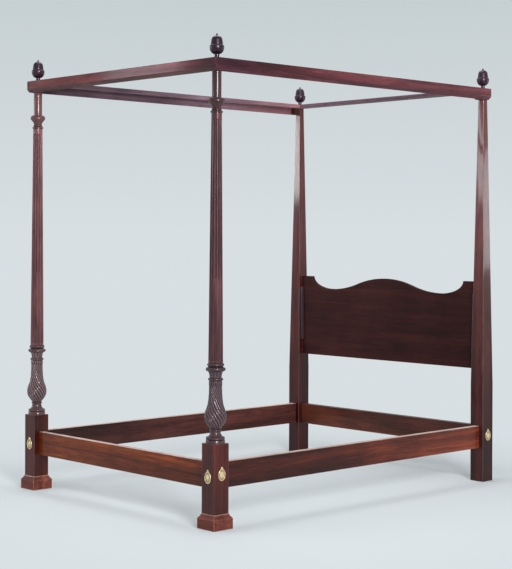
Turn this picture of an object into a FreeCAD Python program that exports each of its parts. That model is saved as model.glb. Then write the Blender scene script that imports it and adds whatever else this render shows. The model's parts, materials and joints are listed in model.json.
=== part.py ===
import FreeCAD, Part
import math
import os
from collections import namedtuple

# Tester bed: turned and fluted foot posts, plain tapered head posts, bolted rails, a shaped headboard
# and a light tester frame that sits on pins under acorn finials.
# Millimetres. +Z is up, -Y is the foot of the bed and +X its right side, seen from the foot.
# The origin lies on the floor in the middle of the bed's outline.

# Layout of the post axes
post_span_across = 1350.0
post_span_along = 1855.0
post_top = 2019.0
edge_ease = 1.5
same_point = 1e-6

# Foot posts: square block and plinth
foot_block = 84.0
block_height = 370.0
plinth_thickness = 13.5
plinth_straight = 46.0
plinth_height = 67.0

# Foot posts: turning, from the block upwards
collar_inset = 0.5
collar_height = 15.0
collar_rim_thickness = 14.0
foot_neck_radius = 22.4
foot_neck_rise = 25.0
neck_bead_thickness = 8.0
bulb_radius = 47.0
bulb_rise = 52.0
throat_radius = 27.8
throat_rise = 156.0
lower_ring_radius = 33.0
lower_ring_thickness = 14.0
bell_low_radius = 26.0
bell_top_radius = 35.0
bell_height = 28.0
middle_ring_radius = 43.5
middle_ring_thickness = 17.0
band_height = 4.0
upper_ring_radius = 37.5
upper_ring_thickness = 14.0
column_bottom_radius = 32.5
column_top_radius = 23.0
flute_count = 12
flute_depth = 3.2
flute_land = 3.5
flute_start = 365.0
flute_end_margin = 30.0
capital_ring_radius = 27.5
capital_ring_thickness = 10.0
capital_bead_radius = 22.5
capital_bead_thickness = 10.0
capital_neck_radius = 19.0
capital_radius = 36.5
capital_bulge_rise = 31.0
capital_crown_rise = 16.0
shaft_radius = 20.5
shaft_length = 151.0

# Head posts
head_block = 82.0
taper_start = 500.0
head_top_side = 32.0

# Rails, their stub tenons and the clearance round a tenon
rail_bottom = 173.0
rail_height = 114.0
rail_thickness = 32.0
tenon_length = 20.0
tenon_thickness = 16.0
tenon_shoulder = 12.0
tenon_clearance = 0.3

# Bed bolts: those into the side rails pass under those into the end rails
side_bolt_rise = 51.0
bolt_wall = 2.5
bolt_radius = 4.75
bolt_clearance = 0.5
bolt_head_side = 14.0
bolt_head_thickness = 8.0
washer_radius = 12.0
washer_thickness = 2.5
recess_clearance = 1.0
recess_depth = 16.0
nut_side = 18.0
nut_thickness = 9.0
nut_clearance = 0.4
nut_distance = 52.0
bolt_end_margin = 8.0

# Bolt covers, hung on pins above the bolt heads
cover_half_width = 20.0
cover_half_height = 26.0
cover_pin_rise = 29.5
cover_tab_radius = 5.5
cover_thickness = 1.6
cover_rim_width = 2.6
cover_rim_height = 1.2
cover_boss_half_width = 8.0
cover_boss_half_height = 12.0
cover_boss_height = 2.0
cover_gap = 0.6
cover_pin_radius = 1.6
cover_pin_depth = 14.0
cover_pin_head_radius = 2.9
cover_pin_head_thickness = 1.8
cover_end_play = 0.3
running_clearance = 0.3
fixed_clearance = 0.05

# Headboard, let into grooves in the head posts
headboard_thickness = 20.0
headboard_bottom = 580.0
ear_top = 1035.0
ear_inner = 557.0
low_point = 400.0
low_top = 965.0
peak_top = 1034.0
groove_depth = 12.0
groove_clearance = 0.4

# Cleats in front of the headboard, with their screws
cleat_bottom = 667.0
cleat_top = 969.0
cleat_width = 14.0
cleat_thickness = 12.0
cleat_screw_count = 3
cleat_screw_margin = 30.0
cleat_screw_radius = 1.8
cleat_screw_length = 28.0
cleat_screw_head_radius = 3.6
cleat_screw_head_thickness = 3.0

# Tester frame on the post tops
lath_thickness = 20.0
lath_width = 58.0
fascia_thickness = 18.0
fascia_height = 58.0
fascia_bevel = 16.0
tester_gap = 0.5
corner_block_side = 34.0
dowel_radius = 4.0
dowel_in_lath = 20.0
dowel_in_fascia = 11.0
dowel_clearance = 0.1
side_dowel_count = 5
foot_dowel_count = 4
dowel_margin = 160.0

# Pins in the post tops
pin_radius = 4.0
pin_depth = 60.0
pin_stand = 30.0
pin_lath_clearance = 0.5
pin_finial_clearance = 0.3

# Finials: stem, acorn cup and nut, heights above the laths
finial_stem_radius = 10.5
finial_stem_height = 17.0
cup_radius = 32.0
cup_widest = 48.0
cup_top = 57.0
groove_radius = 26.0
nut_radius = 27.0
nut_foot = 61.0
nut_shoulder_radius = 24.2
nut_shoulder = 80.0
nut_top = 98.0
tip_radius = 4.5
tip_top = 108.0
finial_bore_end = 2.0

# Places that follow from the sizes
Vector = FreeCAD.Vector
up = Vector(0, 0, 1)
along = Vector(0, 1, 0)
across = Vector(1, 0, 0)
half_span = post_span_across / 2
cover_reach = cover_gap + cover_thickness + max(
    cover_rim_height, cover_boss_height, cover_end_play + cover_pin_head_thickness)
lath_outer = shaft_radius + tester_gap
lath_inner = lath_width - lath_outer
fascia_outer = lath_outer + fascia_thickness
front_reach = max(foot_block / 2 + max(plinth_thickness, cover_reach), fascia_outer)
rear_reach = max(head_block / 2 + cover_reach, lath_outer)
foot_axis = (front_reach - rear_reach - post_span_along) / 2
head_axis = foot_axis + post_span_along
rail_middle = rail_bottom + rail_height / 2
tenon_height = rail_height - 2 * tenon_shoulder
side_bolt_height = rail_bottom + side_bolt_rise
end_bolt_height = side_bolt_height + 2 * (bolt_radius + bolt_clearance) + bolt_wall
recess_radius = washer_radius + recess_clearance
lath_top = post_top + lath_thickness
fascia_bottom = lath_top - fascia_height

Post = namedtuple("Post", "end side x y half")
Station = namedtuple("Station", "post face angle height")


def sign(side):
    return 1 if side == "right" else -1


posts = []
for end_name, axis_y, half_block in (("foot", foot_axis, foot_block / 2), ("head", head_axis, head_block / 2)):
    for side_name in ("left", "right"):
        posts.append(Post(end_name, side_name, sign(side_name) * half_span, axis_y, half_block))

# A station is one bolt through one post. In its own frame the bolt runs along +Y from the outer face.
stations = []
for post in posts:
    end_face = "front" if post.end == "foot" else "back"
    stations.append(Station(post, end_face, 0 if post.end == "foot" else 180, side_bolt_height))
    stations.append(Station(post, "outer", 90 * sign(post.side), end_bolt_height))


def block(low, high):
    """Box between two opposite corners, given in any order."""
    corner = Vector(*[min(a, b) for a, b in zip(low, high)])
    size = [abs(a - b) for a, b in zip(low, high)]
    return Part.makeBox(size[0], size[1], size[2], corner)


def moved(shape, x, y, z, angle=0):
    copy = shape.copy()
    copy.Placement = FreeCAD.Placement(Vector(x, y, z), FreeCAD.Rotation(up, angle)).multiply(shape.Placement)
    return copy


def at_station(shape, station):
    return moved(shape, station.post.x, station.post.y, station.height, station.angle)


def eased(solid, direction):
    """Chamfer the edges of a solid that run in one direction."""
    edges = []
    for edge in solid.Edges:
        if abs(edge.tangentAt(edge.FirstParameter).dot(direction)) > 0.999:
            edges.append(edge)
    return solid.makeChamfer(edge_ease, edges)


def rod(radius, start, end):
    return Part.makeCylinder(radius, (end - start).Length, start, end - start)


class Turning:
    """Half outline of a turned piece, drawn upwards from the axis and then spun round it."""

    def __init__(self, height):
        self.edges = []
        self.point = Vector(0, 0, height)
        self.start = self.point

    def add(self, curve, end):
        self.edges.append(curve.toShape())
        self.point = end

    def line(self, radius, height):
        end = Vector(radius, 0, height)
        if not end.isEqual(self.point, same_point):
            self.add(Part.LineSegment(self.point, end), end)

    def curve(self, handle_1, handle_2, radius, height):
        end = Vector(radius, 0, height)
        spline = Part.BezierCurve()
        spline.setPoles([self.point, Vector(handle_1[0], 0, handle_1[1]), Vector(handle_2[0], 0, handle_2[1]), end])
        self.add(spline, end)

    def ring(self, radius, thickness):
        """Half-round ring on the present height."""
        height = self.point.z
        inner = radius - thickness / 2
        self.line(inner, height)
        end = Vector(inner, 0, height + thickness)
        self.add(Part.Arc(self.point, Vector(radius, 0, height + thickness / 2), end), end)

    def spin(self):
        self.line(0, self.point.z)
        self.edges.append(Part.LineSegment(self.point, self.start).toShape())
        face = Part.Face(Part.Wire(self.edges))
        return face.revolve(Vector(0, 0, 0), up, 360)


def between(first, second, share):
    return first + (second - first) * share


def foot_turning():
    """Turned part of a foot post, standing on its block."""
    outline = Turning(block_height)
    collar = foot_block / 2 - collar_inset
    outline.line(collar, block_height)
    outline.line(collar, block_height + collar_height)
    outline.ring(collar, collar_rim_thickness)
    cove = outline.point
    neck = cove.z + foot_neck_rise
    outline.curve(
        (between(cove.x, foot_neck_radius, 0.5), cove.z), (foot_neck_radius, between(cove.z, neck, 0.5)),
        foot_neck_radius, neck)
    outline.ring(foot_neck_radius + neck_bead_thickness / 2, neck_bead_thickness)
    bulb_foot = outline.point.z
    bulb = bulb_foot + bulb_rise
    outline.curve(
        (between(foot_neck_radius, bulb_radius, 0.15), between(bulb_foot, bulb, 0.22)),
        (bulb_radius, between(bulb_foot, bulb, 0.47)), bulb_radius, bulb)
    throat = bulb + throat_rise
    outline.curve(
        (bulb_radius, between(bulb, throat, 0.3)),
        (between(throat_radius, bulb_radius, -0.05), between(bulb, throat, 0.1)), throat_radius, throat)
    outline.ring(lower_ring_radius, lower_ring_thickness)
    bell = outline.point.z
    bell_top = bell + bell_height
    outline.line(bell_low_radius, bell)
    outline.curve(
        (bell_low_radius, between(bell, bell_top, 0.6)), (between(bell_low_radius, bell_top_radius, 0.5), bell_top),
        bell_top_radius, bell_top)
    outline.ring(middle_ring_radius, middle_ring_thickness)
    band = outline.point.z
    outline.line(column_bottom_radius, band)
    outline.line(column_bottom_radius, band + band_height)
    outline.ring(upper_ring_radius, upper_ring_thickness)
    column_bottom = outline.point.z
    capital = post_top - shaft_length - capital_crown_rise - capital_bulge_rise - capital_bead_thickness
    column_top = capital - capital_ring_thickness
    outline.line(column_bottom_radius, column_bottom)
    outline.line(column_top_radius, column_top)
    outline.ring(capital_ring_radius, capital_ring_thickness)
    outline.ring(capital_bead_radius, capital_bead_thickness)
    capital_neck = outline.point.z
    bulge = capital_neck + capital_bulge_rise
    crown = bulge + capital_crown_rise
    outline.line(capital_neck_radius, capital_neck)
    outline.curve(
        (between(capital_neck_radius, capital_radius, 0.1), between(capital_neck, bulge, 0.5)),
        (capital_radius, between(capital_neck, bulge, 0.75)), capital_radius, bulge)
    outline.curve(
        (capital_radius, between(bulge, crown, 0.7)), (between(shaft_radius, capital_radius, 0.6), crown),
        shaft_radius, crown)
    outline.line(shaft_radius, post_top)
    return outline.spin().cut(flute_cutters(column_bottom, column_top))


def flute_cutters(column_bottom, column_top):
    """Round-ended tapered cutters, one for each flute; below them the column stays full."""
    ends = []
    for end_height in (column_bottom + flute_start, column_top - flute_end_margin):
        share = (end_height - column_bottom) / (column_top - column_bottom)
        surface = between(column_bottom_radius, column_top_radius, share)
        width = 2 * math.pi * surface / flute_count - flute_land
        radius = (width * width / 4 + flute_depth * flute_depth) / (2 * flute_depth)
        ends.append((Vector(surface + radius - flute_depth, 0, end_height), radius))
    (low, low_radius), (high, high_radius) = ends
    run = high - low
    cutter = Part.makeCone(low_radius, high_radius, run.Length, low, run)
    cutter = cutter.fuse([Part.makeSphere(low_radius, low), Part.makeSphere(high_radius, high)])
    return [moved(cutter, 0, 0, 0, 360 * index / flute_count) for index in range(flute_count)]


def square_outline(side, height):
    """Square wire with its corners taken off by the edge ease."""
    half = side / 2
    flat = half - edge_ease
    corners = [(half, -flat), (half, flat), (flat, half), (-flat, half),
               (-half, flat), (-half, -flat), (-flat, -half), (flat, -half)]
    points = [Vector(x, y, height) for x, y in corners]
    return Part.makePolygon(points + points[:1])


def head_half(height):
    """Half the side of a head post at a height."""
    share = max(0.0, (height - taper_start) / (post_top - taper_start))
    return between(head_block, head_top_side, share) / 2


def head_shaft():
    sections = [(head_block, 0.0), (head_block, taper_start), (head_top_side, post_top)]
    return Part.makeLoft([square_outline(side, height) for side, height in sections], True, True)


groove_floor = head_half(ear_top) - groove_depth


def station_cutters(station):
    """Recess, bolt hole, cover pin hole and tenon mortise of one station."""
    half = station.post.half
    seat = Vector(0, recess_depth - half, 0)
    pin_foot = Vector(0, cover_pin_depth - half, cover_pin_rise)
    drilled = [
        rod(recess_radius, Vector(0, -half, 0), seat),
        rod(bolt_radius + bolt_clearance, seat, Vector(0, half, 0)),
        rod(cover_pin_radius + fixed_clearance, Vector(0, -half, cover_pin_rise), pin_foot)]
    mortise_half = tenon_thickness / 2 + tenon_clearance
    mortise_rise = tenon_height / 2 + tenon_clearance
    offset = rail_middle - station.height
    mortise = block(
        (-mortise_half, half - tenon_length - tenon_clearance, offset - mortise_rise),
        (mortise_half, half, offset + mortise_rise))
    return [at_station(shape, station) for shape in drilled + [mortise]]


def post_pin_hole(post):
    foot = Vector(post.x, post.y, post_top - pin_depth)
    return rod(pin_radius + fixed_clearance, foot, Vector(post.x, post.y, post_top))


def headboard_groove(post):
    """Stopped groove in the inner face of a head post."""
    inward = -sign(post.side)
    half = headboard_thickness / 2 + groove_clearance
    return block(
        (post.x + inward * groove_floor, post.y - half, headboard_bottom - groove_clearance),
        (post.x + inward * head_block, post.y + half, ear_top + groove_clearance))


def cleat_screw_heights():
    low = cleat_bottom + cleat_screw_margin
    high = cleat_top - cleat_screw_margin
    return [between(low, high, index / (cleat_screw_count - 1)) for index in range(cleat_screw_count)]


def cleat_screw(post, height, clearance=0.0):
    """Countersunk screw through a cleat into its post, or the hole for it."""
    inward = -sign(post.side)
    y = post.y - (headboard_thickness + cleat_width) / 2
    head_x = post.x + inward * (head_half(height) + cleat_thickness - edge_ease)
    start = Vector(head_x, y, height)
    drive = Vector(-inward, 0, 0)
    shank = Part.makeCylinder(cleat_screw_radius + clearance, cleat_screw_length + clearance, start, drive)
    head = Part.makeCone(
        cleat_screw_head_radius + clearance, cleat_screw_radius + clearance, cleat_screw_head_thickness,
        start, drive)
    return shank.fuse(head).removeSplitter()


def screw_holes(post):
    """Holes for the cleat screws, open to the inside of the bed."""
    inward = -sign(post.side)
    y = post.y - (headboard_thickness + cleat_width) / 2
    holes = []
    for height in cleat_screw_heights():
        hole = cleat_screw(post, height, fixed_clearance)
        head_x = post.x + inward * (head_half(height) + cleat_thickness - edge_ease)
        mouth = Vector(head_x, y, height)
        outside = mouth + Vector(inward * cleat_thickness, 0, 0)
        holes += [hole, rod(cleat_screw_head_radius + fixed_clearance, mouth, outside)]
    return holes


def finished_post(post):
    cutters = [post_pin_hole(post)]
    for station in stations:
        if station.post == post:
            cutters += station_cutters(station)
    if post.end == "foot":
        half = post.half
        base = eased(block((-half, -half, 0), (half, half, block_height)), up)
        shape = base.fuse(foot_turning())
    else:
        shape = head_shaft()
        cutters.append(headboard_groove(post))
        cutters += screw_holes(post)
    return moved(shape, post.x, post.y, 0).cut(cutters)


def plinth(post):
    """Four mitred mouldings round the foot of a foot post."""
    half = foot_block / 2
    outer = half + plinth_thickness
    profile = [(half, 0), (outer, 0), (outer, plinth_straight), (half, plinth_height)]
    points = [Vector(-outer, -x, z) for x, z in profile]
    strip = Part.Face(Part.makePolygon(points + points[:1])).extrude(Vector(2 * outer, 0, 0))
    corners = [Vector(0, 0, 0), Vector(-outer, -outer, 0), Vector(outer, -outer, 0), Vector(0, 0, 0)]
    wedge = Part.Face(Part.makePolygon(corners)).extrude(up * plinth_height)
    moulding = strip.common(wedge)
    return [moved(moulding, post.x, post.y, 0, angle) for angle in (0, 90, 180, 270)]


def rail(length, bolt_height):
    """Rail along X, its inner face towards +Y, with tenons, bolt holes and nut pockets."""
    half = length / 2
    thick = rail_thickness / 2
    body = eased(block((-half, -thick, rail_bottom), (half, thick, rail_bottom + rail_height)), across)
    tenon_reach = half + tenon_length
    tenon = block(
        (-tenon_reach, -tenon_thickness / 2, rail_middle - tenon_height / 2),
        (tenon_reach, tenon_thickness / 2, rail_middle + tenon_height / 2))
    hole_depth = nut_distance + nut_thickness + bolt_end_margin + bolt_clearance
    pocket_half = nut_side / 2 + nut_clearance
    cutters = []
    for direction in (-1, 1):
        hole_end = Vector(direction * (half - hole_depth), 0, bolt_height)
        hole_mouth = Vector(direction * tenon_reach, 0, bolt_height)
        cutters.append(rod(bolt_radius + bolt_clearance, hole_end, hole_mouth))
        near = half - nut_distance
        far = near - nut_thickness - nut_clearance
        cutters.append(block(
            (direction * near, -pocket_half, bolt_height - pocket_half),
            (direction * far, thick, bolt_height + pocket_half)))
    return body.fuse(tenon).removeSplitter().cut(cutters)


def bolt(half):
    """Bed bolt in its station's frame: square head, long shank."""
    seat = recess_depth - half - washer_thickness
    side = bolt_head_side / 2
    head = block((-side, seat - bolt_head_thickness, -side), (side, seat, side))
    end = half + nut_distance + nut_thickness + bolt_end_margin
    shank = rod(bolt_radius, Vector(0, seat - bolt_head_thickness / 2, 0), Vector(0, end, 0))
    return head.fuse(shank).removeSplitter()


def washer(half):
    seat = Vector(0, recess_depth - half, 0)
    front = seat - along * washer_thickness
    return rod(washer_radius, front, seat).cut(rod(bolt_radius + fixed_clearance, front, seat))


def rail_nut(half):
    """Square nut in its pocket, tight on the bolt."""
    side = nut_side / 2
    near = half + nut_distance
    far = near + nut_thickness
    nut = block((-side, near, -side), (side, far, side))
    return nut.cut(rod(bolt_radius + fixed_clearance, Vector(0, near, 0), Vector(0, far, 0)))


def oval(half_width, half_height, depth_from, depth_to):
    """Upright oval plate whose thickness runs along Y."""
    if half_height >= half_width:
        ellipse = Part.Ellipse(Vector(0, depth_from, half_height), Vector(half_width, depth_from, 0),
                               Vector(0, depth_from, 0))
    else:
        ellipse = Part.Ellipse(Vector(half_width, depth_from, 0), Vector(0, depth_from, half_height),
                               Vector(0, depth_from, 0))
    face = Part.Face(Part.Wire(ellipse.toShape()))
    return face.extrude(along * (depth_to - depth_from))


def bolt_cover(half):
    """Oval cover with a raised rim, a central boss and a tab for its pin."""
    back = -half - cover_gap
    front = back - cover_thickness
    plate = oval(cover_half_width, cover_half_height, back, front)
    tab_centre = Vector(0, back, cover_pin_rise)
    tab = rod(cover_tab_radius, tab_centre, tab_centre - along * cover_thickness)
    neck_points = [
        Vector(-cover_half_width / 2, back, cover_half_height / 2),
        Vector(cover_half_width / 2, back, cover_half_height / 2),
        Vector(cover_tab_radius, back, cover_pin_rise),
        Vector(-cover_tab_radius, back, cover_pin_rise)]
    neck = Part.Face(Part.makePolygon(neck_points + neck_points[:1])).extrude(along * -cover_thickness)
    rim_front = front - cover_rim_height
    rim = oval(cover_half_width, cover_half_height, front, rim_front)
    rim = rim.cut(oval(cover_half_width - cover_rim_width, cover_half_height - cover_rim_width, front, rim_front))
    boss = oval(cover_boss_half_width, cover_boss_half_height, front, front - cover_boss_height)
    hole = rod(cover_pin_radius + running_clearance, tab_centre, tab_centre - along * cover_thickness)
    return plate.fuse([tab, neck, rim, boss]).removeSplitter().cut(hole)


def cover_pin(half):
    """Round-headed pin that a cover hangs on."""
    axis = Vector(0, 0, cover_pin_rise)
    seat = -half - cover_gap - cover_thickness - cover_end_play
    shank = rod(cover_pin_radius, axis + along * (cover_pin_depth - half), axis + along * seat)
    head = rod(cover_pin_head_radius, axis + along * seat, axis + along * (seat - cover_pin_head_thickness))
    return shank.fuse(head).removeSplitter()


def headboard():
    """Board with square ears, a hollow beside each ear and a low arch in the middle."""
    end = half_span - groove_floor - groove_clearance
    front = head_axis - headboard_thickness / 2

    def point(x, z):
        return Vector(x, front, z)

    middle = low_point / 2
    middle_top = (low_top + peak_top) / 2
    rise = middle_top - low_top
    arch_radius = (middle * middle + rise * rise) / (2 * rise)
    quarter = middle / 2
    sagitta = arch_radius - math.sqrt(arch_radius * arch_radius - quarter * quarter)
    edges = [Part.LineSegment(point(-end, headboard_bottom), point(end, headboard_bottom))]
    for side in (1, -1):
        corner = point(side * end, headboard_bottom)
        ear = point(side * end, ear_top)
        ear_end = point(side * ear_inner, ear_top)
        low = point(side * low_point, low_top)
        turn = point(side * middle, middle_top)
        hollow = Part.Ellipse(ear_end, low, point(side * low_point, ear_top))
        edges += [
            Part.LineSegment(corner, ear), Part.LineSegment(ear, ear_end),
            Part.ArcOfEllipse(hollow, 0, math.pi / 2),
            Part.Arc(low, point(side * (low_point - quarter), low_top + sagitta), turn),
            Part.Arc(turn, point(side * quarter, peak_top - sagitta), point(0, peak_top))]
    outline = Part.Wire(Part.sortEdges([edge.toShape() for edge in edges])[0])
    return Part.Face(outline).extrude(along * headboard_thickness)


def cleat(post):
    """Strip on the sloping inner face of a head post, in front of the headboard."""
    inward = -sign(post.side)
    front = post.y - headboard_thickness / 2 - cleat_width
    low_x = post.x + inward * head_half(cleat_bottom)
    high_x = post.x + inward * head_half(cleat_top)
    reach = inward * cleat_thickness
    points = [Vector(low_x, front, cleat_bottom), Vector(high_x, front, cleat_top),
              Vector(high_x + reach, front, cleat_top), Vector(low_x + reach, front, cleat_bottom)]
    strip = Part.Face(Part.makePolygon(points + points[:1])).extrude(along * cleat_width)
    return strip.cut(screw_holes(post))


def pin_holes():
    holes = []
    for post in posts:
        low = Vector(post.x, post.y, post_top)
        holes.append(rod(pin_radius + pin_lath_clearance, low, low + up * lath_thickness))
    return holes


def dowel_places(low, high, count):
    first = low + dowel_margin
    last = high - dowel_margin
    return [between(first, last, index / (count - 1)) for index in range(count)]


def fascia_dowels(clearance=0.0):
    """Dowels from the lath edges into the fascia boards, or the holes for them."""
    height = post_top + lath_thickness / 2
    radius = dowel_radius + clearance
    shapes = []
    for direction in (-1, 1):
        joint = half_span + lath_outer
        for y in dowel_places(foot_axis, head_axis, side_dowel_count):
            shapes.append(rod(
                radius, Vector(direction * (joint - dowel_in_lath - clearance), y, height),
                Vector(direction * (joint + dowel_in_fascia + clearance), y, height)))
    joint = foot_axis - lath_outer
    for x in dowel_places(-half_span, half_span, foot_dowel_count):
        shapes.append(rod(
            radius, Vector(x, joint + dowel_in_lath + clearance, height),
            Vector(x, joint - dowel_in_fascia - clearance, height)))
    return shapes


def side_lath(direction):
    """Lath along a side: its ends keep their lower half."""
    outer = direction * (half_span + lath_outer)
    inner = direction * (half_span - lath_inner)
    start = foot_axis - lath_outer
    end = head_axis + lath_outer
    middle = post_top + lath_thickness / 2
    lath = block((inner, start, post_top), (outer, end, lath_top))
    laps = [block((inner, start, middle), (outer, start + lath_width, lath_top)),
            block((inner, end, middle), (outer, end - lath_width, lath_top))]
    return lath.cut(laps + pin_holes() + fascia_dowels(dowel_clearance))


def end_lath(axis, outward):
    """Lath across the foot or the head: its ends keep their upper half."""
    outer = axis + outward * lath_outer
    inner = axis - outward * lath_inner
    end = half_span + lath_outer
    middle = post_top + lath_thickness / 2
    lath = block((-end, inner, post_top), (end, outer, lath_top))
    laps = [block((-end, inner, post_top), (lath_width - end, outer, middle)),
            block((end, inner, post_top), (end - lath_width, outer, middle))]
    return lath.cut(laps + pin_holes() + fascia_dowels(dowel_clearance))


def fascia_profile():
    """Inner top, outer top, outer bottom and inner bottom corners, as distance outwards and height."""
    return [(lath_outer, lath_top), (fascia_outer, lath_top),
            (fascia_outer, fascia_bottom + fascia_bevel), (lath_outer, fascia_bottom)]


def side_fascia(direction):
    start = foot_axis - fascia_outer
    end = head_axis + lath_outer
    points = [Vector(direction * (half_span + reach), start, z) for reach, z in fascia_profile()]
    board = Part.Face(Part.makePolygon(points + points[:1])).extrude(along * (end - start))
    return board.cut(fascia_dowels(dowel_clearance))


def foot_fascia():
    end = half_span + lath_outer
    points = [Vector(-end, foot_axis - reach, z) for reach, z in fascia_profile()]
    board = Part.Face(Part.makePolygon(points + points[:1])).extrude(across * (2 * end))
    return board.cut(fascia_dowels(dowel_clearance))


def corner_block(direction):
    """Block under a side lath and against its fascia, just in front of a head post."""
    outer = direction * (half_span + lath_outer)
    back = head_axis - head_half(fascia_bottom) - tester_gap
    return block((outer, back, fascia_bottom),
                 (outer - direction * corner_block_side, back - corner_block_side, post_top))


def post_pin(post):
    foot = Vector(post.x, post.y, post_top - pin_depth)
    return rod(pin_radius, foot, Vector(post.x, post.y, lath_top + pin_stand))


def finial(post):
    """Acorn on a slim stem, bored for the post pin."""
    outline = Turning(0.0)
    outline.line(finial_stem_radius, 0.0)
    outline.line(finial_stem_radius, finial_stem_height)
    outline.curve(
        (between(finial_stem_radius, cup_radius, 0.62), between(finial_stem_height, cup_widest, 0.05)),
        (cup_radius, between(finial_stem_height, cup_widest, 0.52)), cup_radius, cup_widest)
    outline.curve(
        (cup_radius, between(cup_widest, cup_top, 0.7)),
        (between(groove_radius, cup_radius, 0.7), cup_top), groove_radius, cup_top)
    outline.line(nut_radius, nut_foot)
    outline.line(nut_shoulder_radius, nut_shoulder)
    outline.curve(
        (between(nut_radius, nut_shoulder_radius, 1.5), between(nut_foot, nut_shoulder, 1.5)),
        (between(tip_radius, nut_radius, 0.5), nut_top), tip_radius, nut_top)
    outline.curve(
        (tip_radius, between(nut_top, tip_top, 0.8)), (between(0, tip_radius, 0.4), tip_top), 0.0, tip_top)
    bore_top = Vector(0, 0, pin_stand + finial_bore_end)
    acorn = outline.spin().cut(rod(pin_radius + pin_finial_clearance, Vector(0, 0, 0), bore_top))
    return moved(acorn, post.x, post.y, lath_top)


def export(name, *solids):
    shape = solids[0] if len(solids) == 1 else Part.makeCompound(list(solids))
    for solid in shape.Solids:
        if not solid.isValid():
            print("not valid:", name)
    shape.exportStep("parts/" + name + ".step")
    print(name, len(shape.Solids), "solids", round(shape.Volume / 1000, 2), "cm3")


def main():
    os.makedirs("parts", exist_ok=True)
    side_length = post_span_along - foot_block / 2 - head_block / 2
    side_middle = (foot_axis + foot_block / 2 + head_axis - head_block / 2) / 2
    for post in posts:
        place = post.end + "_" + post.side
        export(post.end + "_post_" + post.side, finished_post(post))
        export("finial_" + place, finial(post))
        if post.end == "foot":
            export("foot_plinth_" + post.side, *plinth(post))
        else:
            export("headboard_cleat_" + post.side, cleat(post))
    export("post_pins", *[post_pin(post) for post in posts])
    head_posts = [post for post in posts if post.end == "head"]
    screws = [cleat_screw(post, height) for post in head_posts for height in cleat_screw_heights()]
    export("cleat_screws", *screws)
    for side in ("left", "right"):
        side_rail = rail(side_length, side_bolt_height)
        export("side_rail_" + side, moved(side_rail, sign(side) * half_span, side_middle, 0, 90 * sign(side)))
        export("tester_lath_" + side, side_lath(sign(side)))
        export("fascia_" + side, side_fascia(sign(side)))
        export("tester_corner_block_" + side, corner_block(sign(side)))
    export("foot_rail", moved(rail(post_span_across - foot_block, end_bolt_height), 0, foot_axis, 0))
    export("head_rail", moved(rail(post_span_across - head_block, end_bolt_height), 0, head_axis, 0, 180))
    export("tester_lath_foot", end_lath(foot_axis, -1))
    export("tester_lath_head", end_lath(head_axis, 1))
    export("fascia_foot", foot_fascia())
    export("fascia_dowels", *fascia_dowels())
    export("headboard", headboard())
    for station in stations:
        cover_name = "_".join(["bolt_cover", station.post.end, station.post.side, station.face])
        export(cover_name, at_station(bolt_cover(station.post.half), station))
    side_stations = [station for station in stations if station.face != "outer"]
    end_stations = [station for station in stations if station.face == "outer"]
    export("side_rail_bolts", *[at_station(bolt(station.post.half), station) for station in side_stations])
    export("end_rail_bolts", *[at_station(bolt(station.post.half), station) for station in end_stations])
    export("bolt_washers", *[at_station(washer(station.post.half), station) for station in stations])
    export("rail_nuts", *[at_station(rail_nut(station.post.half), station) for station in stations])
    export("cover_pins", *[at_station(cover_pin(station.post.half), station) for station in stations])


main()
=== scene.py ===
import json
import math

import bmesh
import bpy
import numpy as np
from mathutils import Matrix, Vector

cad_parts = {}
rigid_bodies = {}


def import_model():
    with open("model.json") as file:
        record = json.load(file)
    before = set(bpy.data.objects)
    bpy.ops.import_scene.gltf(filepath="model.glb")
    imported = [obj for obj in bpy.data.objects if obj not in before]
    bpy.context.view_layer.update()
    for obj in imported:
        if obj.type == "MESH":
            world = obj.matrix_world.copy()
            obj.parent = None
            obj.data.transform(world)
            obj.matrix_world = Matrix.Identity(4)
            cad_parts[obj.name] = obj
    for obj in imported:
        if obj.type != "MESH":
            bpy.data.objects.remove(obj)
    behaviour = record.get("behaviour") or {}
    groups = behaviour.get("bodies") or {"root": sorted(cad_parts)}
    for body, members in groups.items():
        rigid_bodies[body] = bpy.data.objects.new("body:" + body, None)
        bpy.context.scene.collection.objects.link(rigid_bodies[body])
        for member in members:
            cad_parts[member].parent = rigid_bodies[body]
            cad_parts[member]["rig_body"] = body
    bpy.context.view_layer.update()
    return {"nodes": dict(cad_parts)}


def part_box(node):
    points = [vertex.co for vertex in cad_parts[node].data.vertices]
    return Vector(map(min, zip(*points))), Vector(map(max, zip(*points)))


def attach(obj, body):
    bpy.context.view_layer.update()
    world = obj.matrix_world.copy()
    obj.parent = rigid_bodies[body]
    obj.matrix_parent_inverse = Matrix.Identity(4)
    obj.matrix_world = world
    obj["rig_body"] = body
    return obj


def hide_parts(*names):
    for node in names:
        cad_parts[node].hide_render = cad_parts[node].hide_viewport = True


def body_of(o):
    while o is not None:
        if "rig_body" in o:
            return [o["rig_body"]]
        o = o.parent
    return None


# Looks of a tester bed: carved foot posts, polished mahogany, brass bolt covers and soft studio light.
# Metres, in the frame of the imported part. +Z is up and -Y is the foot of the bed.

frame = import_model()
nodes = frame["nodes"]

# Smallest length that counts
tiny = 1e-6

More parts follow.
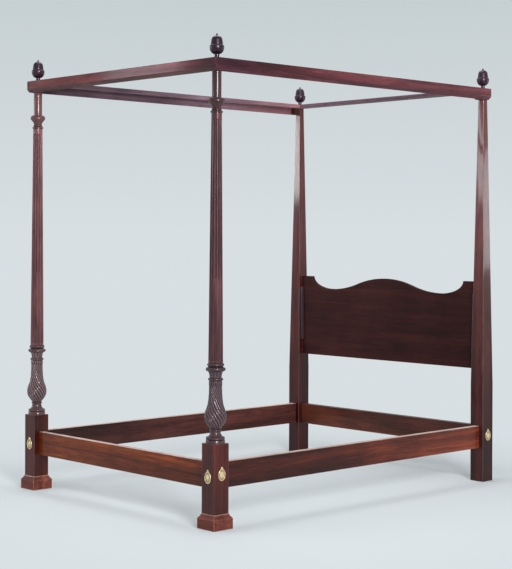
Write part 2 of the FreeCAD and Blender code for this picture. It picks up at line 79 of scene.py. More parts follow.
# Foot posts: heights and radii of the turning, from the block upwards
block_top = 0.370
block_overlap = 0.0002
collar_radius = 0.0415
collar_height = 0.015
collar_rim_thickness = 0.014
neck_radius = 0.0224
neck_rise = 0.025
neck_bead_thickness = 0.008
vase_foot = block_top + collar_height + collar_rim_thickness + neck_rise + neck_bead_thickness
bulb_radius = 0.047
bulb_height = 0.484
throat_radius = 0.0278
throat_height = 0.640
lower_ring_radius = 0.033
lower_ring_thickness = 0.014
bell_low_radius = 0.026
bell_top_radius = 0.035
bell_height = 0.028
bell_foot = throat_height + lower_ring_thickness
bell_top = bell_foot + bell_height
middle_ring_radius = 0.0435
middle_ring_thickness = 0.017
band_height = 0.004
upper_ring_radius = 0.0375
upper_ring_thickness = 0.014
column_bottom_radius = 0.0325
column_top_radius = 0.023
rings_thickness = lower_ring_thickness + middle_ring_thickness + upper_ring_thickness
column_bottom = throat_height + rings_thickness + bell_height + band_height
column_top = 1.801
capital_ring_radius = 0.0275
capital_ring_thickness = 0.010
capital_bead_radius = 0.0225
capital_bead_thickness = 0.010
capital_neck_radius = 0.019
capital_radius = 0.0365
capital_bulge_rise = 0.031
capital_crown_rise = 0.016
capital_neck = column_top + capital_ring_thickness + capital_bead_thickness
capital_crown = capital_neck + capital_bulge_rise + capital_crown_rise
shaft_radius = 0.0205

# Foot posts: handles of the curves, as shares of the way across and up, and the steps along each curve
cove_handles = ((0.5, 0.0), (1.0, 0.5))
cove_steps = 12
bulb_handles = ((0.15, 0.22), (1.0, 0.47))
bulb_steps = 40
vase_handles = ((0.0, 0.3), (1.05, 0.1))
vase_steps = 96
bell_handles = ((0.0, 0.6), (0.5, 1.0))
bell_steps = 18
bulge_handles = ((0.1, 0.5), (1.0, 0.75))
crown_handles = ((0.0, 0.7), (0.4, 1.0))
capital_steps = 14
ring_steps = 10
middle_ring_steps = 12

# Foot posts: carving; at round_level a half round lies on the turned surface
points_round = 216
round_level = 0.72
reed_count = 18
reed_twist = 14.5
reed_depth_share = 0.095
reed_fullness = 0.985
reed_fade_low = 0.012
reed_fade_high = 0.006
petal_height = 0.020
petal_relief = 0.0016
petal_fullness = 0.96
lobe_count = 12
lobe_depth = 0.0040
lobe_least = 0.35
vein_depth = 0.35
vein_width = 0.16
flute_count = 12
flute_depth = 0.0032
flute_land = 0.0035
flute_foot = 0.733
flute_head = 1.771
stop_top = 1.084
stop_drop = 0.0005
stop_round = 0.0024

# Foot posts: heights along the column and the steps up to each, closest at the ends of flutes and reeds
column_rows = (
    (flute_foot + 0.004, 16), (stop_top - 0.012, 26), (stop_top + 0.002, 16),
    (flute_head - 0.006, 36), (flute_head + 0.008, 14), (column_top, 4))

# Foot posts: how darkening (dirt and painted shade in the hollows, even darkening of the plain parts), wear
# and painted sheen on the crests, and polish follow the carving, mostly as shares
least_carving = 0.0004
hollow_reach = 0.007
shaft_darkening = 0.45
plain_darkening = 0.5
column_dirt_and_shade = 0.7
column_dirt_and_shade_power = 1.4
vase_dirt_and_shade_power = 0.6
vase_wear_and_sheen_fall = 0.6
low_wear_and_sheen = 0.45
high_wear_and_sheen = 0.05
column_polish = 0.12
shaft_polish = 0.42
turning_polish = 0.45

# Plinths round the feet of the foot posts
plinth_thickness = 0.0135
plinth_straight = 0.046
plinth_height = 0.067
plinth_hollow = 0.0012

# Finials
finial_points_round = 72
finial_bore_radius = 0.0043
finial_bore_height = 0.032
finial_stem_radius = 0.0105
finial_stem_height = 0.017
finial_stem_steps = 4
cup_radius = 0.032
cup_widest = 0.048
cup_top = 0.057
cup_low_handles = ((0.62, 0.05), (1.0, 0.52))
cup_low_steps = 22
cup_high_handles = ((0.0, 0.7), (0.3, 1.0))
cup_high_steps = 12
groove_radius = 0.026
nut_radius = 0.027
nut_foot = 0.061
nut_foot_steps = 3
nut_shoulder_radius = 0.0242
nut_shoulder = 0.080
nut_side_steps = 6
nut_run_on = 1.5
nut_fullness = 0.5
nut_steps = 22
nut_top = 0.098
tip_radius = 0.0045
tip_top = 0.108
tip_rise = 0.8
tip_fullness = 0.4
tip_end = 0.05
tip_steps = 10

# Bolt covers: outline, relief, grime and the eye round the pin
cover_half_width = 0.020
cover_half_height = 0.026
cover_thickness = 0.0014
cover_points_round = 144
cover_rows = (
    0.12, 0.24, 0.32, 0.37, 0.395, 0.42, 0.445, 0.46, 0.475, 0.49, 0.505, 0.52, 0.535, 0.56,
    0.60, 0.66, 0.72, 0.78, 0.82, 0.85, 0.865, 0.885, 0.905, 0.925, 0.945, 0.965, 0.985, 1.0)
cover_point_rise = 0.0016
cover_point_width = 0.24
cover_point_start = 0.8
boss_height = 0.0019
boss_share = 0.40
ray_count = 24
ray_height = 0.00022
ray_middle = 0.68
ray_reach = 0.13
rim_height = 0.0012
rim_middle = 0.925
rim_width = 0.07
rim_grime_start = 0.97
rim_grime = 0.2
inner_ring_height = 0.0008
inner_ring_middle = 0.49
inner_ring_width = 0.045
cover_edge_fall = 0.0006
cover_edge_start = 0.975
grime_height = 0.0012
grime_span = 0.0008
cover_pin_rise = 0.0295
cover_eye_radius = 0.0055
cover_hole_radius = 0.0019
eye_points_round = 48
eye_profile = (
    (cover_hole_radius, 0.0), (cover_hole_radius, 0.0014), (0.0036, 0.0014), (0.0040, 0.0019),
    (0.0046, 0.0021), (0.0052, 0.0018), (cover_eye_radius, 0.0010), (cover_eye_radius, 0.0))

# Rounded edges: their widths, the shortest edges that are rounded, and angles between faces
fine_edge = 0.0006
slim_edge = 0.0008
usual_edge = 0.0012
board_edge = 0.0016
any_length = 0.0
usual_length = 0.012
long_length = 0.03
edge_segments = 3
edge_profile = 0.5
weld_distance = 1e-5
flat_angle = math.radians(0.6)
plinth_angle = math.radians(25)
shading_angle = math.radians(38)
sharp_angle = math.radians(40)

# Least cosine between a face and the direction that it is said to look in
facing = 0.9


def srgb(red, green, blue):
    """Linear colour of a display colour given in steps of 255."""
    values = []
    for part in (red, green, blue):
        share = part / 255
        values.append(share / 12.92 if share <= 0.04045 else ((share + 0.055) / 1.055) ** 2.4)
    return (*values, 1.0)


def grey(share):
    return (share, share, share)


# Wood: noises, each with its scale, detail, roughness and distortion as far as they are set
grain_stretch = 0.07
drift_noise = (8.0, 4.0, 0.5, 0.9)
figure_noise = (24.0, 4.0, 0.55, 1.1)
streak_noise = (150.0, 3.0, 0.6, 0.2)
pore_noise = (800.0, 1.0)
cloud_noise = (4.5, 3.0, 0.5)
smear_noise = (38.0, 4.0, 0.6)

# Wood: ranges of the noises and what they do to the colour, the roughness and the relief
drift_share = 0.45
figure_share = 0.33
streak_share = 0.22
tone_places = (0.38, 0.49, 0.60)
ring_count = 58.0
ring_shades = (0.90, 1.05)
pore_range = (0.56, 0.74)
pore_shades = (1.0, 0.82)
cloud_range = (0.32, 0.68)
cloud_shades = (0.76, 1.16)
smear_range = (0.3, 0.7)
smear_smoother = 0.05
smear_rougher = 0.12
# Carving: crests mixed towards the edge tone as wear and painted sheen, hollows darkened as dirt and painted
# shade
crest_wear_and_sheen_share = 0.7
dirt_and_shade_range = (1.0, 0.08)
dirt_roughness = 0.30
# Edges: worn edges lightened, which also paints the highlights on them
edge_radius = 0.004
edge_samples = 4
edge_likeness = (0.995, 0.90)
wear_and_highlight_range = (0.35, 0.6)
wear_and_highlight_shares = (0.5, 1.0)
streak_relief = 0.6
pore_relief = 0.4
wood_bump = (0.10, 0.0004)
usual_shine = 0.15
coat_roughness = 0.09

# Brass and iron
brass_noise = (160.0, 4.0, 0.6)
brass_speck_noise = (900.0, 2.0, 0.5)
brass_tones = ((0.35, srgb(206, 180, 132)), (0.52, srgb(232, 210, 168)), (0.66, srgb(244, 228, 194)))
brass_grime = srgb(96, 76, 44)
brass_grime_range = (0.3, 0.6)
brass_grime_shares = (0.65, 1.0)
brass_grime_roughness = 0.35
brass_range = (0.35, 0.65)
brass_roughness = (0.24, 0.40)
brass_metal = 0.6
brass_bump = (0.12, 0.0002)
iron_noise = (120.0, 5.0, 0.65)
iron_hammer_noise = (260.0, 2.0, 0.5)
iron_tones = ((0.38, srgb(52, 50, 50)), (0.55, srgb(74, 70, 68)), (0.68, srgb(86, 58, 42)))
iron_range = (0.35, 0.7)
iron_roughness = (0.38, 0.72)
iron_metal = 0.85
iron_bump = (0.35, 0.0006)

# Tones of the wood: dark, middle, light and edge; the edge tone is mixed in on worn edges, where it is also a
# painted highlight, and on the crests of the carving, where it is also a painted sheen
foot_rail_tones = (srgb(52, 15, 0), srgb(97, 37, 9), srgb(142, 64, 18), srgb(150, 96, 70))
rail_tones = (srgb(50, 17, 10), srgb(92, 37, 22), srgb(134, 61, 38), srgb(150, 100, 80))
# Painted sheen: the pale tops of the rails stand in for the light reflected in their polish
rail_top_sheen_tones = (srgb(186, 160, 150), srgb(204, 180, 170), srgb(218, 196, 186), srgb(222, 204, 196))
head_rail_tones = (srgb(42, 17, 12), srgb(68, 30, 20), srgb(96, 47, 32), srgb(132, 96, 80))
# Inner faces of the side rails and the tester corner blocks: dull wood, made darker as painted shade
shaded_inner_tones = (srgb(38, 19, 18), srgb(60, 32, 30), srgb(86, 47, 43), srgb(110, 74, 62))
block_tones = (srgb(40, 9, 6), srgb(64, 18, 13), srgb(86, 29, 21), srgb(136, 84, 70))
post_tones = (srgb(46, 17, 18), srgb(72, 32, 33), srgb(98, 50, 48), srgb(156, 114, 106))
plinth_tones = (srgb(73, 32, 26), srgb(116, 59, 49), srgb(146, 83, 67), srgb(192, 145, 125))
carved_tones = (srgb(50, 25, 30), srgb(83, 46, 52), srgb(112, 67, 71), srgb(92, 79, 85))
# Painted light: a lighter copy of the carved tones for the left foot post, for the light that falls on it
lit_carved_tones = (srgb(82, 46, 48), srgb(122, 74, 77), srgb(152, 98, 99), srgb(122, 104, 107))
board_tones = (srgb(40, 17, 17), srgb(51, 22, 21), srgb(63, 29, 26), srgb(80, 46, 42))
cleat_tones = (srgb(34, 28, 34), srgb(52, 45, 54), srgb(68, 60, 70), srgb(84, 76, 84))
fascia_tones = (srgb(50, 20, 25), srgb(82, 37, 43), srgb(110, 55, 60), srgb(84, 42, 48))
# Painted reflection and shade: a duller grey-brown for the downward bevel of the foot fascia, for the pale
# floor seen in it and the shade under it
fascia_under_painted_tones = (srgb(60, 39, 39), srgb(80, 55, 55), srgb(100, 72, 71), srgb(80, 55, 55))
lath_tones = (srgb(82, 58, 66), srgb(110, 84, 94), srgb(134, 106, 114), srgb(138, 112, 120))
# Painted light: the undersides of the laths are paler than the laths, so that their shade does not show
lath_under_lit_tones = (srgb(110, 84, 92), srgb(142, 112, 122), srgb(166, 136, 144), srgb(138, 112, 120))
finial_tones = (srgb(22, 7, 19), srgb(38, 14, 32), srgb(56, 26, 46), srgb(84, 56, 74))

# Painted light and shade along the pieces: places along the grain and the tint painted there; the pale tops
# of the head posts and the pale middle of the foot fascia are painted sheen
rail_painted_light = ((-0.2, (0.40, 0.31, 0.31)), (0.7, grey(1.22)))
inner_painted_light = ((-0.9, (0.66, 0.88, 0.94)), (0.6, (1.4, 1.2, 1.1)))
left_post_painted_light = (
    (0.3, (0.52, 0.24, 0.20)), (0.9, (0.62, 0.36, 0.36)), (1.3, (1.15, 0.85, 0.90)),
    (1.8, (1.55, 1.60, 1.65)))
right_post_painted_light = (
    (0.3, (0.50, 0.42, 0.40)), (1.0, (0.80, 0.74, 0.74)), (1.4, (1.20, 1.32, 1.40)),
    (1.8, (1.16, 1.30, 1.38)))
board_painted_light = ((-0.3, grey(1.08)), (0.6, grey(0.78)))
foot_fascia_painted_light = (
    (-0.7, (1.05, 0.55, 0.48)), (-0.2, (1.22, 0.72, 0.66)), (0.15, (1.50, 1.50, 1.80)),
    (0.45, (1.50, 1.20, 1.45)), (0.66, (0.60, 0.45, 0.60)))
side_fascia_painted_light = (
    (-0.85, (0.68, 0.68, 0.95)), (-0.55, (1.25, 1.20, 1.15)), (0.3, (1.27, 1.32, 1.30)),
    (0.9, (1.65, 1.65, 1.60)))
lath_painted_light = (
    (-0.9, (0.44, 0.41, 0.44)), (-0.4, (0.63, 0.61, 0.65)), (0.2, (1.10, 1.12, 1.14)),
    (0.9, (1.75, 1.22, 1.15)))
lath_under_painted_light = ((-0.9, grey(0.62)), (0.2, grey(1.10)))


class Shader:
    """Nodes of one material or world, built by short calls that return sockets."""

    def __init__(self, owner):
        self.owner = owner
        owner.use_nodes = True
        self.tree = owner.node_tree
        self.tree.nodes.clear()

    def node(self, kind, inputs, **settings):
        made = self.tree.nodes.new("ShaderNode" + kind)
        for key, value in settings.items():
            setattr(made, key, value)
        for key, value in inputs.items():
            self.feed(made.inputs[key], value)
        return made

    def feed(self, socket, value):
        if isinstance(value, bpy.types.NodeSocket):
            self.tree.links.new(value, socket)
        else:
            socket.default_value = value

    def place(self):
        return self.node("TexCoord", {}).outputs["Object"]

    def scaled(self, vector, factors):
        return self.node("VectorMath", {0: vector, 1: factors}, operation="MULTIPLY").outputs[0]

    def noise(self, vector, scale, detail=3.0, roughness=0.5, distortion=0.0):
        inputs = {"Vector": vector, "Scale": scale, "Detail": detail, "Roughness": roughness,
                  "Distortion": distortion}
        return self.node("TexNoise", inputs).outputs["Fac"]

    def maths(self, operation, first, second):
        return self.node("Math", {0: first, 1: second}, operation=operation).outputs[0]

    def plus(self, first, second):
        return self.maths("ADD", first, second)

    def times(self, first, second):
        return self.maths("MULTIPLY", first, second)

    def spread(self, value, low, high, new_low, new_high):
        inputs = {"Value": value, "From Min": low, "From Max": high, "To Min": new_low, "To Max": new_high}
        return self.node("MapRange", inputs).outputs["Result"]

    def ramp(self, value, stops):
        made = self.node("ValToRGB", {"Fac": value})
        elements = made.color_ramp.elements
        while len(elements) < len(stops):
            elements.new(1.0)
        for element, (position, colour) in zip(elements, stops):
            element.position = position
            element.color = colour
        return made.outputs["Color"]

    def mix(self, share, first, second, blend="MIX"):
        """Mix of two colours; 6 and 7 are the colour sockets of the node and 2 is its colour output."""
        inputs = {0: share, 6: first, 7: second}
        return self.node("Mix", inputs, data_type="RGBA", blend_type=blend).outputs[2]

    def tinted(self, colour, tint):
        return self.mix(1.0, colour, tint, "MULTIPLY")

    def shade(self, colour, share):
        """Colour darkened or lightened by a grey share."""
        return self.tinted(colour, self.node("CombineColor", {0: share, 1: share, 2: share}).outputs[0])

    def edges(self, radius):
        """About 1 on the edges of a piece and 0 on its faces."""
        rounded = self.node("Bevel", {"Radius": radius}, samples=edge_samples).outputs[0]
        plain = self.node("NewGeometry", {}).outputs["Normal"]
        likeness = self.node("VectorMath", {0: rounded, 1: plain}, operation="DOT_PRODUCT").outputs["Value"]
        return self.spread(likeness, *edge_likeness, 0.0, 1.0)

    def attribute(self, label):
        return self.node("Attribute", {}, attribute_name=label).outputs["Fac"]

    def bump(self, height, strength, distance):
        return self.node("Bump", {"Height": height, "Strength": strength, "Distance": distance}).outputs[0]

    def surface(self, inputs):
        shader = self.node("BsdfPrincipled", inputs)
        self.node("OutputMaterial", {"Surface": shader.outputs[0]})
        return self.owner


def mahogany(name, grain, tones, rough, coat, carved=False, painted_tints=None, shine=usual_shine):
    """Polished mahogany with its grain along one axis; tones are its dark, middle, light and edge colours.

    Painted tints give two or more places along the grain, each with the tint painted there, which stands in
    for light and shade along the piece.
    """
    shader = Shader(bpy.data.materials.new(name))
    place = shader.place()
    fibres = shader.scaled(place, [grain_stretch if axis == grain else 1.0 for axis in "XYZ"])
    drift = shader.noise(fibres, *drift_noise)
    figure = shader.noise(fibres, *figure_noise)
    streaks = shader.noise(fibres, *streak_noise)
    pores = shader.spread(shader.noise(fibres, *pore_noise), *pore_range, 0.0, 1.0)
    clouds = shader.noise(place, *cloud_noise)
    tone = shader.plus(shader.times(drift, drift_share), shader.times(figure, figure_share))
    tone = shader.plus(tone, shader.times(streaks, streak_share))
    colour = shader.ramp(tone, list(zip(tone_places, tones)))
    edge = tones[-1]
    rings = shader.maths("SINE", shader.times(figure, ring_count), 0.0)
    colour = shader.shade(colour, shader.spread(rings, -1.0, 1.0, *ring_shades))
    colour = shader.shade(colour, shader.spread(pores, 0.0, 1.0, *pore_shades))
    colour = shader.shade(colour, shader.spread(clouds, *cloud_range, *cloud_shades))
    smear = shader.spread(
        shader.noise(place, *smear_noise), *smear_range, rough - smear_smoother, rough + smear_rougher)
    # painted light and shade: tints along the grain
    if painted_tints is not None:
        run = shader.node("SeparateXYZ", {0: place}).outputs[grain]
        start, end = painted_tints[0][0], painted_tints[-1][0]
        stops = [((spot - start) / (end - start), (*tint, 1.0)) for spot, tint in painted_tints]
        colour = shader.tinted(colour, shader.ramp(shader.spread(run, start, end, 0.0, 1.0), stops))
    if carved:
        # Carved: crests mixed towards the edge tone as wear and painted sheen; hollows darkened as dirt and
        # painted shade; plain parts darkened evenly
        recess = shader.attribute("recess")
        colour = shader.mix(shader.times(shader.attribute("crest"), crest_wear_and_sheen_share), colour, edge)
        colour = shader.shade(colour, shader.spread(recess, 0.0, 1.0, *dirt_and_shade_range))
        smear = shader.plus(smear, shader.times(recess, dirt_roughness))
        coat = shader.times(shader.attribute("polish"), coat)
    else:
        # Worn edges lightened towards the edge tone, partly wear and partly painted highlight
        wear_and_highlight = shader.times(shader.edges(edge_radius), shader.spread(streaks, *wear_and_highlight_range, *wear_and_highlight_shares))
        colour = shader.mix(wear_and_highlight, colour, edge)
    relief = shader.maths("SUBTRACT", shader.times(streaks, streak_relief), shader.times(pores, pore_relief))
    inputs = {
        "Base Color": colour, "Roughness": smear, "Normal": shader.bump(relief, *wood_bump),
        "Specular IOR Level": shine, "Coat Weight": coat, "Coat Roughness": coat_roughness}
    return shader.surface(inputs)


def brass(name):
    """Old pale brass, dull in its hollows."""
    shader = Shader(bpy.data.materials.new(name))
    place = shader.place()
    clouds = shader.noise(place, *brass_noise)
    specks = shader.noise(place, *brass_speck_noise)
    colour = shader.ramp(clouds, brass_tones)
    spots = shader.spread(specks, *brass_grime_range, *brass_grime_shares)
    grime = shader.times(shader.attribute("recess"), spots)
    colour = shader.mix(grime, colour, brass_grime)
    rough = shader.spread(clouds, *brass_range, *brass_roughness)
    rough = shader.plus(rough, shader.times(grime, brass_grime_roughness))
    inputs = {
        "Base Color": colour, "Metallic": brass_metal, "Roughness": rough,
        "Normal": shader.bump(specks, *brass_bump)}
    return shader.surface(inputs)


def iron(name):
    """Dark wrought iron with spots of rust."""
    shader = Shader(bpy.data.materials.new(name))
    place = shader.place()
    clouds = shader.noise(place, *iron_noise)
    hammered = shader.noise(place, *iron_hammer_noise)
    inputs = {
        "Base Color": shader.ramp(clouds, iron_tones), "Metallic": iron_metal,
        "Roughness": shader.spread(clouds, *iron_range, *iron_roughness),
        "Normal": shader.bump(hammered, *iron_bump)}
    return shader.surface(inputs)


materials = {
    "foot_rail": mahogany("mahogany_foot_rail", "X", foot_rail_tones, rough=0.36, coat=0.2),
    "head_rail": mahogany("mahogany_head_rail", "X", head_rail_tones, rough=0.40, coat=0.2),
    "rail_y": mahogany("mahogany_rail_y", "Y", rail_tones, rough=0.36, coat=0.25, painted_tints=rail_painted_light),
    # Dull wood, darker as painted shade on the inner faces of the side rails; also the painted shadow of the
    # tester corner blocks
    "inner_y": mahogany("mahogany_inner_y", "Y", shaded_inner_tones, rough=0.55, coat=0.0, painted_tints=inner_painted_light),
    # Painted sheen on the tops of the rails
    "rail_top": mahogany("mahogany_rail_top", "Y", rail_top_sheen_tones, rough=0.45, coat=0.0),
    "block": mahogany("mahogany_block", "Z", block_tones, rough=0.34, coat=0.35),
    "head_post_left": mahogany(
        "mahogany_head_post_left", "Z", post_tones, rough=0.34, coat=0.25, painted_tints=left_post_painted_light),
    "head_post_right": mahogany(
        "mahogany_head_post_right", "Z", post_tones, rough=0.34, coat=0.25, painted_tints=right_post_painted_light),
    "cleat": mahogany("mahogany_cleat", "Z", cleat_tones, rough=0.45, coat=0.1),
    "plinth": mahogany("mahogany_plinth", "X", plinth_tones, rough=0.36, coat=0.04),
    # Painted light: the left foot post has a lighter copy of the carved wood
    "carved_left": mahogany(
        "mahogany_carved_left", "Z", lit_carved_tones, rough=0.30, coat=0.9, carved=True),
    "carved_right": mahogany("mahogany_carved_right", "Z", carved_tones, rough=0.30, coat=0.9, carved=True),
    "board": mahogany(
        "mahogany_board", "X", board_tones, rough=0.45, coat=0.0, shine=0.08, painted_tints=board_painted_light),
    "fascia_x": mahogany(
        "mahogany_fascia_x", "X", fascia_tones, rough=0.34, coat=0.12, shine=0.06, painted_tints=foot_fascia_painted_light),
    "fascia_y": mahogany(
        "mahogany_fascia_y", "Y", fascia_tones, rough=0.34, coat=0.15, painted_tints=side_fascia_painted_light),
    # Painted reflection and shade on the lower bevel of the foot fascia
    "fascia_under": mahogany("mahogany_fascia_under", "X", fascia_under_painted_tones, rough=0.50, coat=0.0),
    "lath_x": mahogany("mahogany_lath_x", "X", lath_tones, rough=0.55, coat=0.0),
    "lath_y": mahogany("mahogany_lath_y", "Y", lath_tones, rough=0.55, coat=0.0, painted_tints=lath_painted_light),
    # Painted light on the undersides of the laths
    "lath_under": mahogany(
        "mahogany_lath_under", "Y", lath_under_lit_tones, rough=0.55, coat=0.0, painted_tints=lath_under_painted_light),
    "finial": mahogany("dark_mahogany", "Z", finial_tones, rough=0.30, coat=0.16, shine=0.26),
    "brass": brass("old_brass"),
    "iron": iron("wrought_iron")}


def piece_from(name, mesh, material):
    """New object in the scene, with its mesh and its material."""
    made = bpy.data.objects.new(name, mesh)
    bpy.context.scene.collection.objects.link(made)
    mesh.materials.clear()
    mesh.materials.append(materials[material])
    return made


def stand_for(made, node):
    """Makes a piece ride on the body of the node that it stands for."""
    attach(made, body_of(nodes[node])[0])
    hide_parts(node)


def even_shading(made):
    """Smooth shading that leaves flat faces flat and sharp corners sharp."""
    mesh = made.data
    mesh.shade_smooth()
    mesh.set_sharp_from_angle(angle=shading_angle)
    modifier = made.modifiers.new("even_shading", "WEIGHTED_NORMAL")
    modifier.keep_sharp = True


def mesh_from(shape, name):
    """Mesh of a finished shape, which is then let go."""
    mesh = bpy.data.meshes.new(name)
    shape.to_mesh(mesh)
    shape.free()
    return mesh


def round_edges(shape, edges, width):
    bmesh.ops.bevel(
        shape, geom=edges, offset=width, offset_type="OFFSET", segments=edge_segments, profile=edge_profile,
        affect="EDGES", clamp_overlap=True)


def softened_mesh(node, width, shortest, top=None):
    """Mesh of a node with its long edges rounded, and cut off above a height where one is given."""
    shape = bmesh.new()
    shape.from_mesh(nodes[node].data)
    bmesh.ops.remove_doubles(shape, verts=shape.verts, dist=weld_distance)
    if top is not None:
        parts = shape.verts[:] + shape.edges[:] + shape.faces[:]
        bmesh.ops.bisect_plane(shape, geom=parts, plane_co=(0, 0, top), plane_no=(0, 0, 1), clear_outer=True)
        rim = [edge for edge in shape.edges if edge.is_boundary]
        bmesh.ops.holes_fill(shape, edges=rim)
    bmesh.ops.dissolve_limit(shape, angle_limit=flat_angle, verts=shape.verts, edges=shape.edges)
    sharp = []
    for edge in shape.edges:
        if len(edge.link_faces) == 2 and edge.calc_length() > shortest:
            if edge.calc_face_angle() > sharp_angle:
                sharp.append(edge)
    round_edges(shape, sharp, width)
    return mesh_from(shape, node + "_softened")


def softened_piece(node, material, width=usual_edge, shortest=usual_length):
    made = piece_from(node + "_wood", softened_mesh(node, width, shortest), material)
    even_shading(made)
    stand_for(made, node)
    return made


def face_material(made, direction, material):
    """Gives the flat faces of a piece that look in one direction their own material."""
    made.data.materials.append(materials[material])
    for face in made.data.polygons:
        if face.normal.dot(Vector(direction)) > facing:
            face.material_index = len(made.data.materials) - 1


def between(first, second, share):
    return first + (second - first) * share


class Outline:
    """Half outline of a turned piece as points of radius and height, drawn upwards."""

    def __init__(self, radius, height):
        self.points = [(radius, height)]

    def line(self, radius, height, steps=1):
        start_radius, start_height = self.points[-1]
        for step in range(1, steps + 1):
            share = step / steps
            self.points.append((between(start_radius, radius, share), between(start_height, height, share)))

    def curve(self, handle_1, handle_2, radius, height, steps):
        poles = (self.points[-1], handle_1, handle_2, (radius, height))
        for step in range(1, steps + 1):
            share = step / steps
            rest = 1 - share
            weights = (rest ** 3, 3 * rest * rest * share, 3 * rest * share * share, share ** 3)
            self.points.append(tuple(sum(weight * pole[axis] for weight, pole in zip(weights, poles))
                                     for axis in (0, 1)))

    def sweep(self, handles, radius, height, steps):
        """Curve whose handles are shares of the way across and up to its end."""
        start_radius, start_height = self.points[-1]
        spots = [(between(start_radius, radius, over), between(start_height, height, up))
                 for over, up in handles]
        self.curve(*spots, radius, height, steps)

    def ring(self, radius, thickness, steps=ring_steps):
        """Half-round ring on the present height."""
        start, height = self.points[-1]
        inner = radius - thickness / 2
        if abs(start - inner) > tiny:
            self.line(inner, height)
        for step in range(1, steps + 1):
            angle = math.pi * step / steps
            self.points.append((inner + thickness / 2 * math.sin(angle),
                                height + thickness / 2 * (1 - math.cos(angle))))


def column_radius(height):
    share = (height - column_bottom) / (column_top - column_bottom)
    return between(column_bottom_radius, column_top_radius, share)


def turning_outline():
    """Outline of a foot post above its block, as in the solid, with close points where it is carved."""
    outline = Outline(collar_radius, block_top)
    outline.line(collar_radius, block_top + collar_height)
    outline.ring(collar_radius, collar_rim_thickness)
    outline.sweep(cove_handles, neck_radius, vase_foot - neck_bead_thickness, cove_steps)
    outline.ring(neck_radius + neck_bead_thickness / 2, neck_bead_thickness)
    outline.sweep(bulb_handles, bulb_radius, bulb_height, bulb_steps)
    outline.sweep(vase_handles, throat_radius, throat_height, vase_steps)
    outline.ring(lower_ring_radius, lower_ring_thickness)
    outline.line(bell_low_radius, bell_foot)
    outline.sweep(bell_handles, bell_top_radius, bell_top, bell_steps)
    outline.ring(middle_ring_radius, middle_ring_thickness, middle_ring_steps)
    band = bell_top + middle_ring_thickness
    outline.line(column_bottom_radius, band)
    outline.line(column_bottom_radius, band + band_height)
    outline.ring(upper_ring_radius, upper_ring_thickness)
    outline.line(column_bottom_radius, column_bottom)
    for height, steps in column_rows:
        outline.line(column_radius(height), height, steps)
    outline.ring(capital_ring_radius, capital_ring_thickness)
    outline.ring(capital_bead_radius, capital_bead_thickness)
    outline.line(capital_neck_radius, capital_neck)
    outline.sweep(bulge_handles, capital_radius, capital_neck + capital_bulge_rise, capital_steps)
    outline.sweep(crown_handles, shaft_radius, capital_crown, capital_steps)
    return outline


def across(angle, count):
    """Place across one of several equal parts round the turning, from -1 to 1."""
    return 2 * np.mod(angle * count / (2 * math.pi), 1.0) - 1


def half_round(place):
    return np.sqrt(np.clip(1 - place * place, 0, 1))


def reed_carving(radius, height, angle):
    """Spiral reeds round the vase, which fade out at its two ends."""
    low_fade = np.clip((height - vase_foot) / reed_fade_low, 0, 1)
    high_fade = np.clip((throat_height - height) / reed_fade_high, 0, 1)
    depth = reed_depth_share * radius * (low_fade * high_fade)
    return depth * (half_round(across(angle, reed_count) * reed_fullness) - round_level)


def petal_carving(height, angle):
    """Row of petals that hang under the lower ring."""
    share = np.clip((height - throat_height + petal_height) / petal_height, 0, 1)
    width = np.sqrt(np.clip(share * (2 - share), tiny, 1)) * petal_fullness
    petal = petal_relief * half_round(np.clip(across(angle, reed_count) / width, -1, 1))
    return np.where(share > 0, petal, 0)


def lobe_carving(height, angle):
    """Leaf lobes round the bell between the rings, each with a vein."""
    share = np.clip((height - bell_foot) / bell_height, 0, 1)
    place = across(angle, lobe_count)
    vein = vein_depth * np.clip(1 - np.abs(place) / vein_width, 0, 1)
    return lobe_depth * between(lobe_least, 1, share) * (half_round(place) - vein - round_level)


def flute_carving(height, angle):
    """Round-ended flutes of the column; reeds with round heads fill their lower part."""
    surface = column_radius(height)
    width = 2 * math.pi * surface / flute_count - flute_land
    cutter = (width * width / 4 + flute_depth * flute_depth) / (2 * flute_depth)
    turn = across(angle, flute_count) * math.pi / flute_count
    centre = surface + cutter - flute_depth
    past = np.maximum(np.maximum(flute_foot - height, height - flute_head), 0)
    reach = cutter * cutter - (centre * np.sin(turn)) ** 2 - past * past
    hollow = centre * np.cos(turn) - np.sqrt(np.clip(reach, 0, None))
    floor = np.where(reach > 0, np.minimum(hollow, surface), surface) - surface
    half = width / 2
    beyond = np.maximum(np.maximum(height - (stop_top - half), flute_foot - height), 0) / half
    spot = (turn * surface / half) ** 2 + beyond * beyond
    stop = -stop_drop - stop_round * (1 - np.sqrt(np.clip(1 - spot, 0, 1)))
    return np.where(spot < 1, np.maximum(floor, stop), floor)


def hollows(radius, height, reach):
    """How far each point of an outline lies below the points near it on both sides."""
    gap = height[None, :] - height[:, None]
    above = np.where((gap >= 0) & (gap < reach), radius[None, :], 0).max(axis=1)
    below = np.where((gap <= 0) & (gap > -reach), radius[None, :], 0).max(axis=1)
    return np.clip(2 * (np.minimum(above, below) - radius) / reach, 0, 1)


